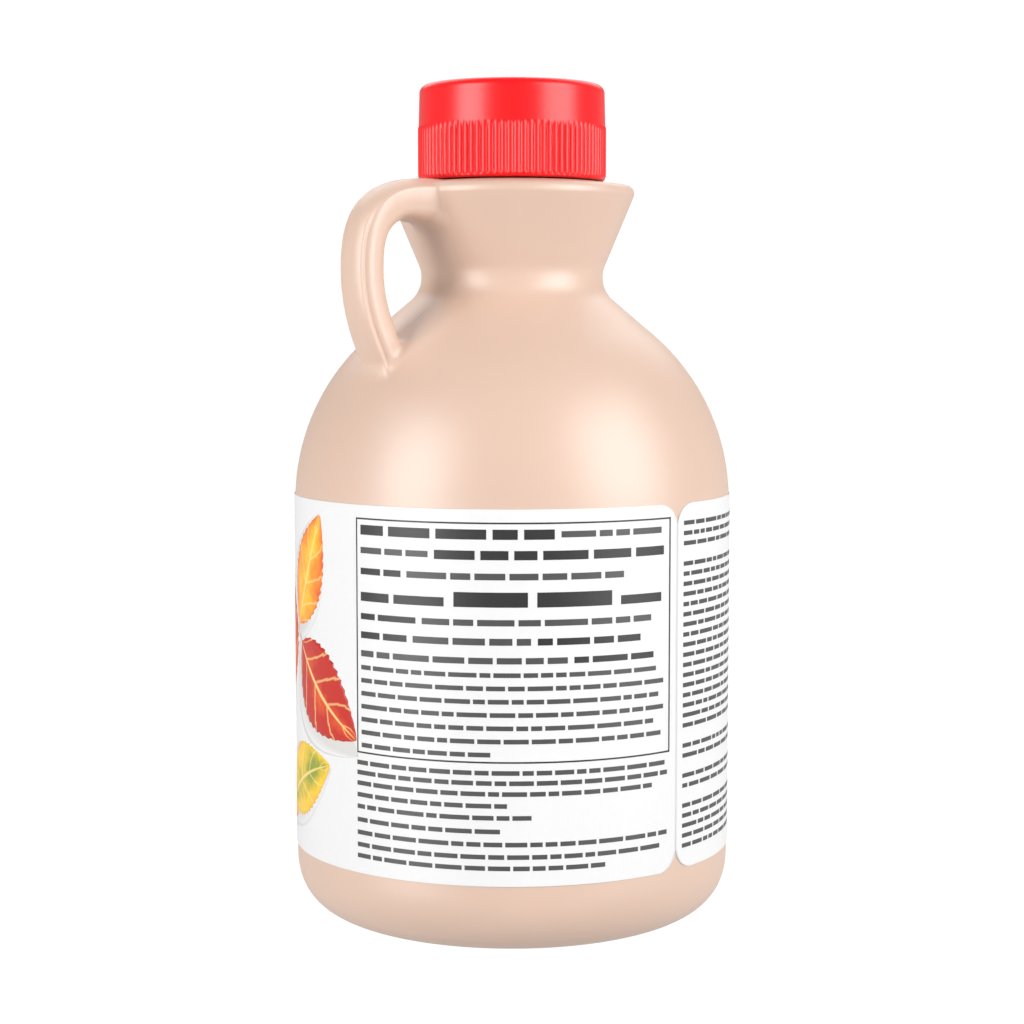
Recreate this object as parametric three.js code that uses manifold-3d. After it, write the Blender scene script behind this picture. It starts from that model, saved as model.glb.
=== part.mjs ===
// Syrup jug: a blow-moulded bottle with a finger handle, a ribbed screw cap and a wrap-round label.
// Millimetres, +Z up. The origin is the centre of the foot. The handle lies on the XZ plane, towards +X.

import * as THREE from 'three';
import { mergeVertices } from 'three/addons/utils/BufferGeometryUtils.js';
import Module from 'manifold-3d';

const wasm = await Module();
wasm.setup();

// Bottle wall, from the foot up
const BODY_RADIUS = 40.85;
const FOOT_RADIUS = 27.2;
const FOOT_HEIGHT = 12.4;
const FOOT_SQUARENESS = 2.4;
const DOME_CENTRE_Z = 78.2;
const WAIST_RADIUS = 17.0;
const WAIST_Z = 120.0;
const WAIST_FILLET = 5.7;
const RIM_RADIUS = 22.85;
const RIM_Z = 135.45;
const RIM_ROUND = 1.5;
const CROWN_SLOPE = 7;
const CROWN_Z = 137.5;

// Label, let into a shallow panel in the wall
const LABEL_BOTTOM = 13.9;
const LABEL_TOP = 79.75;
const LABEL_RADIUS = 41.0;
const LABEL_THICKNESS = 0.35;
const LABEL_CORNER = 4.3;
const SEAM_GAP = 0.3;
const SEAM_ANGLE = 94.65;
const FIT_GAP = 0.3;
const PANEL_MARGIN = 0.5;

// Handle: the outer edge runs level from the collar, turns down, then leans in to the shoulder
const HANDLE_REACH = 38.3;
const HANDLE_REACH_Z = 121.2;
const HANDLE_START = 16;
const HANDLE_TOP_Z = 137.3;
const HANDLE_TOP_RISE = 1.3;
const HANDLE_TOP_PULL = 15;
const HANDLE_BEND_PULL = 13.5;
const HANDLE_SIDE_PULL = 8.5;
const HANDLE_ROOT = [30.7, 98.6];
const HANDLE_ROOT_PULL = 9.5;
const HANDLE_ROOT_LEAN = 28;

// Handle section, half of it from the outer face to the inner one: corners [across, deep] and how far each
// is rounded. A groove on each flank makes it a strap laid on a rib.
const SECTION_CORNERS = [[1.5, 0], [3.2, 0.5], [2.7, 1.5], [3.35, 1.95], [4.95, 4.75], [0.6, 5.5]];
const SECTION_ROUNDINGS = [0.8, 0.7, 0.4, 0.38, 1.5, 0.5];
const COLLAR_WIDER = 1.1;
const COLLAR_DEEPER = 1.5;
const COLLAR_FLARE_X = [22, 39];
const ROOT_WIDER = 1.4;
const ROOT_FLARE_Z = [99, 113];

// Screw cap
const CAP_BOTTOM = 137.8;
const CAP_TOP = 155.55;
const CAP_RADIUS = 17.4;
const CAP_CORNER = 1.6;
const CAP_DRAFT = 0.14;
const CAP_RIM_RADIUS = 17.35;
const RIB_BOTTOM = 138.4;
const RIB_TOP = 147.3;
const RIB_CREST_RADIUS = 17.55;
const RIB_VALLEY_RADIUS = 17.25;
const RIB_COUNT = 90;
const CAP_CORE_RADIUS = 17.0;

// Facets
const BODY_FACETS = 60;
const CAP_FACETS = 48;
const LABEL_FACETS = 72;
const HANDLE_STEPS = 30;
const FOOT_STEPS = 8;
const DOME_STEPS = 8;
const FILLET_STEPS = 5;
const ROUND_STEPS = 4;
const SECTION_ARC_STEPS = 3;
const WELD = 1e-4;

const { degToRad, smoothstep } = THREE.MathUtils;

// Points of an arc, angles in degrees from the outward radius
function arc(centreR, centreZ, radius, fromDeg, toDeg, steps) {
  return Array.from({ length: steps + 1 }, (_, i) => {
    const angle = degToRad(fromDeg + ((toDeg - fromDeg) * i) / steps);
    return new THREE.Vector2(centreR + radius * Math.cos(angle), centreZ + radius * Math.sin(angle));
  });
}

// Rounding between the foot and the wall: a quarter of a superellipse
function footRounding(steps) {
  return Array.from({ length: steps + 1 }, (_, i) => {
    const angle = degToRad((90 * i) / steps);
    const out = Math.sin(angle) ** (2 / FOOT_SQUARENESS);
    const down = Math.cos(angle) ** (2 / FOOT_SQUARENESS);
    return new THREE.Vector2(
      FOOT_RADIUS + (BODY_RADIUS - FOOT_RADIUS) * out,
      FOOT_HEIGHT * (1 - down),
    );
  });
}

// Direction, in degrees, of the normal to a straight wall that touches two circles, where the wall passes
// between their centres: the first bulges out, the second curves in.
function wallNormal(bulge, hollow) {
  const apart = new THREE.Vector2(hollow.r - bulge.r, hollow.z - bulge.z);
  const turn = Math.acos((bulge.radius + hollow.radius) / apart.length());
  return THREE.MathUtils.radToDeg(Math.atan2(apart.y, apart.x) - turn * Math.sign(apart.y));
}

// Outline of the bottle from the axis at the foot to the axis at the crown
function bottleProfile() {
  const dome = { r: 0, z: DOME_CENTRE_Z, radius: BODY_RADIUS };
  const waist = { r: WAIST_RADIUS + WAIST_FILLET, z: WAIST_Z, radius: WAIST_FILLET };
  const rim = { r: RIM_RADIUS - RIM_ROUND, z: RIM_Z, radius: RIM_ROUND };
  const shoulderNormal = wallNormal(dome, waist);
  const collarNormal = wallNormal(rim, waist);
  const panelRadius = LABEL_RADIUS - LABEL_THICKNESS - FIT_GAP;
  const panelBottom = LABEL_BOTTOM - PANEL_MARGIN;
  const panelTop = LABEL_TOP + PANEL_MARGIN;
  const step = BODY_RADIUS - panelRadius;
  const domeStart = THREE.MathUtils.radToDeg(Math.asin((panelTop + step - DOME_CENTRE_Z) / BODY_RADIUS));
  const crownEdge = arc(rim.r, rim.z, rim.radius, collarNormal, 90 - CROWN_SLOPE, ROUND_STEPS);
  const crownStart = crownEdge[crownEdge.length - 1];
  const crownRun = (CROWN_Z - crownStart.y) / Math.tan(degToRad(CROWN_SLOPE));
  return [
    new THREE.Vector2(0, 0),
    ...footRounding(FOOT_STEPS),
    new THREE.Vector2(BODY_RADIUS, panelBottom - step),
    new THREE.Vector2(panelRadius, panelBottom),
    new THREE.Vector2(panelRadius, panelTop),
    ...arc(dome.r, dome.z, dome.radius, domeStart, shoulderNormal, DOME_STEPS),
    ...arc(waist.r, waist.z, waist.radius, 180 + shoulderNormal, 180 + collarNormal, FILLET_STEPS),
    ...crownEdge,
    new THREE.Vector2(crownStart.x - crownRun, CROWN_Z),
    new THREE.Vector2(0, CROWN_Z),
  ];
}

// Outer edge of the handle: two cubic curves that meet at its furthest reach
function handlePath() {
  const start = new THREE.Vector3(HANDLE_START, 0, HANDLE_TOP_Z);
  const reach = new THREE.Vector3(HANDLE_REACH, 0, HANDLE_REACH_Z);
  const root = new THREE.Vector3(HANDLE_ROOT[0], 0, HANDLE_ROOT[1]);
  const lean = degToRad(HANDLE_ROOT_LEAN);
  const rootPull = new THREE.Vector3(Math.sin(lean), 0, Math.cos(lean)).multiplyScalar(HANDLE_ROOT_PULL);
  const path = new THREE.CurvePath();
  path.add(new THREE.CubicBezierCurve3(
    start,
    new THREE.Vector3(HANDLE_START + HANDLE_TOP_PULL, 0, HANDLE_TOP_Z + HANDLE_TOP_RISE),
    new THREE.Vector3(HANDLE_REACH, 0, HANDLE_REACH_Z + HANDLE_BEND_PULL),
    reach,
  ));
  path.add(new THREE.CubicBezierCurve3(
    reach,
    new THREE.Vector3(HANDLE_REACH, 0, HANDLE_REACH_Z - HANDLE_SIDE_PULL),
    root.clone().add(rootPull),
    root,
  ));
  return path;
}

// Cross-section of the handle: x across its width, y from the outer face inwards
function handleSection() {
  const right = SECTION_CORNERS.map(([x, y], i) => ({ at: new THREE.Vector2(x, y), cut: SECTION_ROUNDINGS[i] }));
  const left = right.map(({ at, cut }) => ({ at: new THREE.Vector2(-at.x, at.y), cut })).reverse();
  const corners = [...right, ...left];
  const section = new THREE.Shape();
  corners.forEach(({ at, cut }, i) => {
    const before = corners.at(i - 1).at;
    const after = corners[(i + 1) % corners.length].at;
    const enter = before.clone().sub(at).setLength(cut).add(at);
    const leave = after.clone().sub(at).setLength(cut).add(at);
    if (i === 0) {
      section.moveTo(enter.x, enter.y);
    } else {
      section.lineTo(enter.x, enter.y);
    }
    section.quadraticCurveTo(at.x, at.y, leave.x, leave.y);
  });
  section.closePath();
  return section;
}

// The handle grows wider and deeper where it runs into the collar, and wider where it lands on the shoulder
function flareHandle(geometry) {
  const place = geometry.attributes.position;
  for (let i = 0; i < place.count; i += 1) {
    const [x, y, z] = [place.getX(i), place.getY(i), place.getZ(i)];
    const nearCollar = z > HANDLE_REACH_Z ? 1 - smoothstep(x, ...COLLAR_FLARE_X) : 0;
    const nearRoot = 1 - smoothstep(z, ...ROOT_FLARE_Z);
    const wider = 1 + (COLLAR_WIDER - 1) * nearCollar + (ROOT_WIDER - 1) * nearRoot;
    const deeper = 1 + (COLLAR_DEEPER - 1) * nearCollar;
    const below = Math.max(HANDLE_TOP_Z - z, 0);
    place.setXYZ(i, x, y * wider, z - below * (deeper - 1));
  }
  return geometry;
}

// A lathed outline turned from three.js's Y axis to the jug's Z axis
function turned(profile, facets) {
  return new THREE.LatheGeometry(profile, facets).rotateX(Math.PI / 2);
}

// Closed geometry as a solid that can be joined and cut
function solid(geometry) {
  const bare = geometry.index ? geometry.toNonIndexed() : geometry.clone();
  bare.deleteAttribute('normal');
  bare.deleteAttribute('uv');
  const welded = mergeVertices(bare, WELD);
  const corners = welded.index.array;
  const triangles = [];
  for (let i = 0; i < corners.length; i += 3) {
    const [a, b, c] = corners.subarray(i, i + 3);
    if (a !== b && b !== c && c !== a) {
      triangles.push(a, b, c);
    }
  }
  return new wasm.Manifold(new wasm.Mesh({
    numProp: 3,
    vertProperties: new Float32Array(welded.attributes.position.array),
    triVerts: new Uint32Array(triangles),
  }));
}

// A named mesh of a finished solid
function piece(name, shape, material) {
  const { vertProperties, triVerts } = shape.getMesh();
  const geometry = new THREE.BufferGeometry();
  geometry.setAttribute('position', new THREE.BufferAttribute(vertProperties, 3));
  geometry.setIndex(new THREE.BufferAttribute(triVerts, 1));
  geometry.computeVertexNormals();
  const mesh = new THREE.Mesh(geometry, material);
  mesh.name = name;
  return mesh;
}

function makeJug() {
  const bottle = solid(turned(bottleProfile(), BODY_FACETS));
  const sweep = new THREE.ExtrudeGeometry(handleSection(), {
    steps: HANDLE_STEPS,
    curveSegments: SECTION_ARC_STEPS,
    extrudePath: handlePath(),
  });
  return bottle.add(solid(flareHandle(sweep)));
}

// Outline of the ribbed band: a tooth for each rib
function ribOutline() {
  const outline = new THREE.Shape();
  for (let i = 0; i < 2 * RIB_COUNT; i += 1) {
    const angle = (Math.PI * i) / RIB_COUNT;
    const radius = i % 2 ? RIB_VALLEY_RADIUS : RIB_CREST_RADIUS;
    const [x, y] = [radius * Math.cos(angle), radius * Math.sin(angle)];
    if (i === 0) {
      outline.moveTo(x, y);
    } else {
      outline.lineTo(x, y);
    }
  }
  return outline;
}

function makeCap() {
  const topRadius = CAP_RADIUS - CAP_DRAFT;
  const core = solid(turned([
    new THREE.Vector2(0, CAP_BOTTOM),
    new THREE.Vector2(CAP_RIM_RADIUS, CAP_BOTTOM),
    new THREE.Vector2(CAP_RIM_RADIUS, RIB_BOTTOM + FIT_GAP),
    new THREE.Vector2(CAP_CORE_RADIUS, RIB_BOTTOM + FIT_GAP),
    new THREE.Vector2(CAP_CORE_RADIUS, RIB_TOP - FIT_GAP),
    new THREE.Vector2(CAP_RADIUS, RIB_TOP - FIT_GAP),
    ...arc(topRadius - CAP_CORNER, CAP_TOP - CAP_CORNER, CAP_CORNER, 0, 90, ROUND_STEPS),
    new THREE.Vector2(0, CAP_TOP),
  ], CAP_FACETS));
  const band = new THREE.ExtrudeGeometry(ribOutline(), {
    depth: RIB_TOP - RIB_BOTTOM,
    bevelEnabled: false,
  });
  return core.add(solid(band.translate(0, 0, RIB_BOTTOM)));
}

// What is cut out between the label's two rounded ends: x along the wall, y up
function seamOutline() {
  const half = SEAM_GAP / 2;
  const wide = half + LABEL_CORNER;
  const low = LABEL_BOTTOM + LABEL_CORNER;
  const high = LABEL_TOP - LABEL_CORNER;
  const gap = new THREE.Shape();
  gap.moveTo(half, low);
  gap.absarc(wide, high, LABEL_CORNER, Math.PI, 0.5 * Math.PI, true);
  gap.lineTo(wide, LABEL_TOP + LABEL_CORNER);
  gap.lineTo(-wide, LABEL_TOP + LABEL_CORNER);
  gap.absarc(-wide, high, LABEL_CORNER, 0.5 * Math.PI, 0, true);
  gap.absarc(-wide, low, LABEL_CORNER, 0, -0.5 * Math.PI, true);
  gap.lineTo(-wide, LABEL_BOTTOM - LABEL_CORNER);
  gap.lineTo(wide, LABEL_BOTTOM - LABEL_CORNER);
  gap.absarc(wide, low, LABEL_CORNER, -0.5 * Math.PI, -Math.PI, true);
  return gap;
}

function makeLabel() {
  const inside = LABEL_RADIUS - LABEL_THICKNESS;
  const sleeve = solid(turned([
    new THREE.Vector2(inside, LABEL_BOTTOM),
    new THREE.Vector2(LABEL_RADIUS, LABEL_BOTTOM),
    new THREE.Vector2(LABEL_RADIUS, LABEL_TOP),
    new THREE.Vector2(inside, LABEL_TOP),
    new THREE.Vector2(inside, LABEL_BOTTOM),
  ], LABEL_FACETS));
  const angle = degToRad(SEAM_ANGLE);
  const outward = new THREE.Vector3(Math.cos(angle), Math.sin(angle), 0);
  const up = new THREE.Vector3(0, 0, 1);
  const along = up.clone().cross(outward);
  const cutter = new THREE.ExtrudeGeometry(seamOutline(), {
    depth: 2 * LABEL_CORNER,
    curveSegments: ROUND_STEPS,
    bevelEnabled: false,
  });
  cutter.applyMatrix4(new THREE.Matrix4().makeBasis(along, up, outward));
  cutter.translate(outward.x * (inside - LABEL_CORNER), outward.y * (inside - LABEL_CORNER), 0);
  return sleeve.subtract(solid(cutter));
}

const hdpe = new THREE.MeshStandardMaterial({ color: '#e9cdb8', roughness: 0.42, metalness: 0 });
const capPlastic = new THREE.MeshStandardMaterial({ color: '#f0262c', roughness: 0.38, metalness: 0 });
const labelFilm = new THREE.MeshStandardMaterial({ color: '#f8f8f8', roughness: 0.45, metalness: 0 });

const syrupJug = new THREE.Group();
syrupJug.add(piece('jug', makeJug(), hdpe));
syrupJug.add(piece('cap', makeCap(), capPlastic));
syrupJug.add(piece('label', makeLabel(), labelFilm));

export default syrupJug;
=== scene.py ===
# %% [markdown]
# # A syrup jug, dressed in Blender
# The solids of the jug arrive as a fixed frame: one node for the bottle with its handle, one for the
# screw cap and one for the label. They have the right sizes but plain facets. Each step below says what
# a piece is on the real object, how it could be made and why this way was chosen, and then makes a
# smooth surface in the same place. Lengths are millimetres until a mesh is written in metres.

import bpy
import numpy as np
from mathutils import Matrix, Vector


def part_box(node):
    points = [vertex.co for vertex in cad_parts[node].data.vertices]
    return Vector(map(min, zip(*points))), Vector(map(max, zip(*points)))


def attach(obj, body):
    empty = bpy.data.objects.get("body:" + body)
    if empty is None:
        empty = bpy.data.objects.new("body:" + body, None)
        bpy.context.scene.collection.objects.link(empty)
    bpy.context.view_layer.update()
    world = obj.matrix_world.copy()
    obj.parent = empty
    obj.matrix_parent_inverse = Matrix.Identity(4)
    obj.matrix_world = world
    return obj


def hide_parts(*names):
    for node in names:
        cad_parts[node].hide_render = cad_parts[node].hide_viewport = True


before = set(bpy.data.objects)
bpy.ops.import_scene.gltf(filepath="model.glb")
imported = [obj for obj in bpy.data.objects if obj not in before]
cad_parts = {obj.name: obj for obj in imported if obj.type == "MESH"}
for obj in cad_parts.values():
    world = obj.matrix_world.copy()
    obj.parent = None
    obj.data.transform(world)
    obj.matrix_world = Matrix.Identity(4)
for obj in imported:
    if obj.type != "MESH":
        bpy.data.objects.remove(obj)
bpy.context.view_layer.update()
MM = 0.001


def node_box(name):
    """Lowest and highest corner of a node, in millimetres."""
    return [np.array(corner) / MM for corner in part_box(name)]


jug_low, jug_high = node_box("jug")
cap_low, cap_high = node_box("cap")
label_low, label_high = node_box("label")
print("jug", jug_low.round(2), jug_high.round(2))
print("cap", cap_low.round(2), cap_high.round(2))
print("label", label_low.round(2), label_high.round(2))

# %% [markdown]
# ## Grids, poles and closed skins
# Nearly every piece here is a grid of points: rows along one parameter, columns round another. Blender
# could lathe or bridge such shapes with its own tools, but whole arrays are shorter and exact. A few
# helpers are enough: two list the faces between rings of points and close a tube on a point at each end,
# and the others write points and faces as a mesh, turned right side out by the sign of its volume.

# %% Mesh helpers


def band_faces(rows, columns):
    """Faces between closed rings: point (i, j) joins (i, j+1), (i+1, j+1) and (i+1, j), j counted round."""
    row = np.arange(rows - 1)[:, None] * columns
    here = np.arange(columns)[None, :]
    after = (here + 1) % columns
    walls = np.stack([row + here, row + after, row + columns + after, row + columns + here], -1)
    return walls.reshape(-1, 4)


def tube_faces(rows, columns):
    """Faces of a tube of rings. The point after the last ring closes the first ring with triangles, and
    the one after that closes the last ring."""
    here = np.arange(columns)
    after = (here + 1) % columns
    first, last, top = rows * columns, rows * columns + 1, (rows - 1) * columns
    start = np.stack([np.full(columns, first), after, here], -1)
    finish = np.stack([np.full(columns, last), top + here, top + after], -1)
    return band_faces(rows, columns).tolist() + start.tolist() + finish.tolist()


def enclosed(points, faces):
    """Signed volume: a sixth of the sum of a . (b x c) over the triangles of each face's fan."""
    fans = np.array([(f[0], f[k], f[k + 1]) for f in faces for k in range(1, len(f) - 1)])
    a, b, c = points[fans[:, 0]], points[fans[:, 1]], points[fans[:, 2]]
    return float(np.einsum("ij,ij->", a, np.cross(b, c))) / 6


def linked(name, data):
    """A new object for a mesh, a lamp or a camera, linked to the scene."""
    made = bpy.data.objects.new(name, data)
    bpy.context.scene.collection.objects.link(made)
    return made


def sheet(name, points, faces, smooth=True):
    """A mesh object at the origin from points in millimetres."""
    mesh = bpy.data.meshes.new(name)
    mesh.from_pydata(points * MM, [], faces)
    mesh.polygons.foreach_set("use_smooth", [smooth] * len(mesh.polygons))
    mesh.update()
    return linked(name, mesh)


def skin(name, points, faces, smooth=True):
    """A closed mesh object with its faces pointing outwards."""
    if enclosed(points, faces) < 0:
        faces = [face[::-1] for face in faces]
    return sheet(name, points, faces, smooth)


def tube(name, rings, start, finish):
    """Rings of points, shaped (rows, columns, 3), closed on a point at each end."""
    points = np.concatenate([rings.reshape(-1, 3), [start, finish]])
    return skin(name, points, tube_faces(*rings.shape[:2]))


def smooth_step(value, low, high):
    """0 below low, 1 above high, and 3t^2 - 2t^3 between them."""
    t = np.clip((value - low) / (high - low), 0, 1)
    return t * t * (3 - 2 * t)


# %% [markdown]
# ## The bottle's outline
# The bottle is blow moulded: a soft tube of polyethylene is blown out against a mould, so every change
# of direction is rounded. Its outline is a short chain of shapes: a foot rounded as part of a
# superellipse, a straight wall, a shoulder that is part of a ball, and a waist fillet, joined by straight
# stretches that touch them, then a collar that flares to a rounded rim. Arcs and touching lines keep the
# slope continuous, so light runs over the joins without a break.

# %% Outline of the bottle
BODY_R = jug_high[1]
CROWN_Z = jug_high[2]
FOOT_R, FOOT_HIGH, FOOT_POWER = 27.2, 12.4, 2.4
DOME_Z = 78.2
WAIST_R, WAIST_Z, WAIST_FILLET = 17.0, 120.0, 5.7
RIM_R, RIM_Z, RIM_ROUND = 22.85, 135.45, 1.5
CROWN_SLOPE, CROWN_FLAT = np.radians(7), 6.0
PUSH_UP, PUSH_IN, PUSH_START = 1.6, 1.5, 0.08


def arc(centre, radius, start, stop, count):
    """Points (r, z) of an arc: centre + radius (cos a, sin a), with a from start to stop."""
    angle = np.linspace(start, stop, count)
    return np.stack([centre[0] + radius * np.cos(angle), centre[1] + radius * np.sin(angle)], -1)


def touching(bulge, bulge_radius, hollow, hollow_radius):
    """Angle of the normal to a straight wall that touches a circle bulging out and one curving in:
    the wall lies off the line between the centres by acos(sum of radii / distance)."""
    apart = np.subtract(hollow, bulge)
    turn = np.arccos((bulge_radius + hollow_radius) / np.hypot(*apart))
    return np.arctan2(apart[1], apart[0]) - turn * np.sign(apart[1])


def bottle_outline():
    """Points (r, z) from the axis under the foot to the axis on the crown."""
    quarter = np.linspace(0, np.pi / 2, 28)
    foot = np.stack([
        FOOT_R + (BODY_R - FOOT_R) * np.sin(quarter) ** (2 / FOOT_POWER),
        FOOT_HIGH * (1 - np.cos(quarter) ** (2 / FOOT_POWER)),
    ], -1)
    share = np.linspace(PUSH_START, 1, 12)
    base = np.stack([(FOOT_R - PUSH_IN) * share, PUSH_UP * (1 - share ** 4) ** 2], -1)
    waist = (WAIST_R + WAIST_FILLET, WAIST_Z)
    rim = (RIM_R - RIM_ROUND, RIM_Z)
    shoulder = touching((0, DOME_Z), BODY_R, waist, WAIST_FILLET)
    collar = touching(rim, RIM_ROUND, waist, WAIST_FILLET)
    dome = arc((0, DOME_Z), BODY_R, 0, shoulder, 46)
    throat = arc(waist, WAIST_FILLET, np.pi + shoulder, np.pi + collar, 16)
    lip = arc(rim, RIM_ROUND, collar, np.pi / 2 - CROWN_SLOPE, 14)
    run = (CROWN_Z - lip[-1, 1]) / np.tan(CROWN_SLOPE)
    crown = np.stack([
        np.linspace(lip[-1, 0], lip[-1, 0] - run, 8),
        np.linspace(lip[-1, 1], CROWN_Z, 8),
    ], -1)
    wall = np.stack([np.full(14, BODY_R), np.linspace(FOOT_HIGH, DOME_Z, 14)], -1)
    cone = np.linspace(dome[-1], throat[0], 9)
    flare = np.linspace(throat[-1], lip[0], 12)
    flat = np.array([[CROWN_FLAT, CROWN_Z]])
    parts = [base, foot, wall[1:-1], dome, cone[1:-1], throat, flare[1:-1], lip, crown[1:], flat]
    return np.concatenate(parts)


outline = bottle_outline()
print("outline points", len(outline), "widest", outline[:, 0].max().round(2))

# %% [markdown]
# ## Turning the outline
# A lathe modifier would do, but the handle has to know exactly where the wall is. So the outline is
# turned here, point (r, z) going to (r cos a, r sin a, z), and the same outline gives the wall's radius
# at any height, with its slope, for the handle to land on.

# %% Bottle surface
AROUND = 256


def turned(profile, columns):
    """Rings of a surface of revolution: (r cos a, r sin a, z) for each point and angle."""
    angle = np.arange(columns) * 2 * np.pi / columns
    r, z = profile[:, :1], profile[:, 1:]
    return np.stack([r * np.cos(angle), r * np.sin(angle), z + 0 * angle], -1)


outer = outline[outline[:, 1].argmin():]
outer = outer[np.concatenate([[True], np.diff(outer[:, 1]) > 1e-6])]


def wall_radius(z):
    """The wall's radius at height z, and 0 above the crown."""
    return np.interp(z, outer[:, 1], outer[:, 0], right=0)


def off_wall(points):
    """How far outside the wall a point is, taken along the wall's normal, and that unit normal."""
    step = 0.03
    x, y, z = points[..., 0], points[..., 1], points[..., 2]
    r = np.hypot(x, y)
    z_in = np.clip(z, outer[0, 1] + step, outer[-1, 1] - step)
    slope = (wall_radius(z_in + step) - wall_radius(z_in - step)) / (2 * step)
    gradient = np.stack([x / r, y / r, -slope], -1)
    steep = np.linalg.norm(gradient, axis=-1)
    return (r - wall_radius(z)) / steep, gradient / steep[..., None]


bottle = tube("bottle", turned(outline, AROUND), (0, 0, PUSH_UP), (0, 0, CROWN_Z))
print("bottle faces", len(bottle.data.polygons))

# %% [markdown]
# ## The handle
# The finger handle is moulded in one with the bottle. Its outer edge runs level from the collar, turns
# down and leans in to the shoulder. Its section is round towards the fingers and flat outside, and lower
# down a groove along each flank makes it look like a strap laid on a rib. Blender's curve bevel could
# sweep such a section, but it would meet the wall in a hard crease. Here each line along the handle is
# followed until it meets the wall, and its last few millimetres are bent aside on a quadratic curve that
# leaves along the handle and arrives along the wall. That is how a fillet feels under a thumb, and it can
# be tight on the flank and wide under the collar.

# %% Route and section of the handle
REACH, REACH_Z = 38.3, 121.2
START_R, START_Z, RISE = 16.0, 137.3, 1.3
TOP_PULL, BEND_PULL, SIDE_PULL = 15.0, 13.5, 8.5
ROOT_R, ROOT_Z, ROOT_PULL, ROOT_LEAN = 30.7, 98.6, 9.5, np.radians(28)
# half a section from the outer face to the inner one: corners (across, deep), and how far each is cut
PLAIN = [(0, 0), (1.5, 0), (3.1, 0.6), (4.15, 1.4), (4.1, 3.0), (3.6, 5.6), (2.2, 6.6), (0, 6.7)]
PLAIN_CUTS = [0.8, 0.7, 0.35, 0.8, 0.9, 0.6]
GROOVED = [
    (0, 0), (1.5, 0), (3.2, 0.5), (2.9, 1.4), (3.45, 1.8), (3.7, 2.6), (3.5, 5.0), (2.3, 6.1), (0, 6.3),
]
GROOVED_CUTS = [1.0, 0.6, 0.33, 0.3, 0.5, 1.1, 0.5]
COLLAR_WIDER, COLLAR_DEEPER, ROOT_WIDER = 1.3, 1.2, 1.15
FLARE_NEAR, FLARE_FAR = 22.0, 31.0
GROOVE_FROM, GROOVE_FULL = 0.5, 0.85
HALF = 72


def bezier(a, b, c, d, t):
    """Cubic curve with ends a, d and pulls b, c, and its direction, at parameters t."""
    a, b, c, d = (np.array(p, float) for p in (a, b, c, d))
    t = t[:, None]
    u = 1 - t
    place = u**3 * a + 3 * u * u * t * b + 3 * u * t * t * c + t**3 * d
    way = u * u * (b - a) + 2 * u * t * (c - b) + t * t * (d - c)
    return place, way


def handle_route(count):
    """Points (x, z) of the handle's outer edge, unit directions, and unit normals into the finger gap."""
    t = np.linspace(0, 1, count)
    start, reach, root = (START_R, START_Z), (REACH, REACH_Z), np.array([ROOT_R, ROOT_Z])
    lean = np.array([np.sin(ROOT_LEAN), np.cos(ROOT_LEAN)]) * ROOT_PULL
    top = bezier(start, (START_R + TOP_PULL, START_Z + RISE), (REACH, REACH_Z + BEND_PULL), reach, t)
    side = bezier(reach, (REACH, REACH_Z - SIDE_PULL), root + lean, root, t)
    place = np.concatenate([top[0], side[0][1:]])
    way = np.concatenate([top[1], side[1][1:]])
    way /= np.linalg.norm(way, axis=1, keepdims=True)
    inward = np.stack([way[:, 1], -way[:, 0]], -1)
    return place, way, inward


def section_loop(corners, cuts):
    """Closed loop (across, deep): each corner is cut by a quadratic curve, the half outline is spaced
    evenly along its length and then mirrored."""
    corners = np.array(corners, float)
    here, back, ahead = corners[1:-1], corners[:-2] - corners[1:-1], corners[2:] - corners[1:-1]
    cut = np.array(cuts)[:, None]
    first = here + cut * back / np.linalg.norm(back, axis=1, keepdims=True)
    last = here + cut * ahead / np.linalg.norm(ahead, axis=1, keepdims=True)
    q = np.linspace(0, 1, 12)[None, :, None]
    bends = (1 - q) ** 2 * first[:, None] + 2 * q * (1 - q) * here[:, None] + q * q * last[:, None]
    chain = np.concatenate([corners[:1], bends.reshape(-1, 2), corners[-1:]])
    length = np.concatenate([[0], np.cumsum(np.linalg.norm(np.diff(chain, axis=0), axis=1))])
    even = np.linspace(0, length[-1], HALF)
    half = np.stack([np.interp(even, length, chain[:, 0]), np.interp(even, length, chain[:, 1])], -1)
    return np.concatenate([half, half[-2:0:-1] * [-1, 1]])


route, heading, inward = handle_route(240)
run = np.concatenate([[0], np.cumsum(np.linalg.norm(np.diff(route, axis=0), axis=1))])
mid_run = run[len(run) // 2]
near_collar = (1 - smooth_step(route[:, 0], FLARE_NEAR, FLARE_FAR)) * (route[:, 1] > REACH_Z)
near_root = 1 - smooth_step(route[:, 1], ROOT_Z, REACH_Z)
widen = 1 + (COLLAR_WIDER - 1) * near_collar + (ROOT_WIDER - 1) * near_root
deepen = 1 + (COLLAR_DEEPER - 1) * near_collar
grooved = smooth_step(run, mid_run * GROOVE_FROM, mid_run * GROOVE_FULL)
plain_loop, grooved_loop = section_loop(PLAIN, PLAIN_CUTS), section_loop(GROOVED, GROOVED_CUTS)


def handle_point(along):
    """Points at distances along the handle, one distance for each line of the section in the last axis:
    route + depth * inward + width * Y, with the section mixed from plain to grooved."""
    def at(values):
        return np.interp(along, run, values)

    across = at(widen) * (plain_loop[:, 0] + (grooved_loop - plain_loop)[:, 0] * at(grooved))
    deep = at(deepen) * (plain_loop[:, 1] + (grooved_loop - plain_loop)[:, 1] * at(grooved))
    x = at(route[:, 0]) + deep * at(inward[:, 0])
    z = at(route[:, 1]) + deep * at(inward[:, 1])
    return np.stack([x, across, z], -1)


print("handle length", run[-1].round(1), "section points", len(plain_loop))

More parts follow.
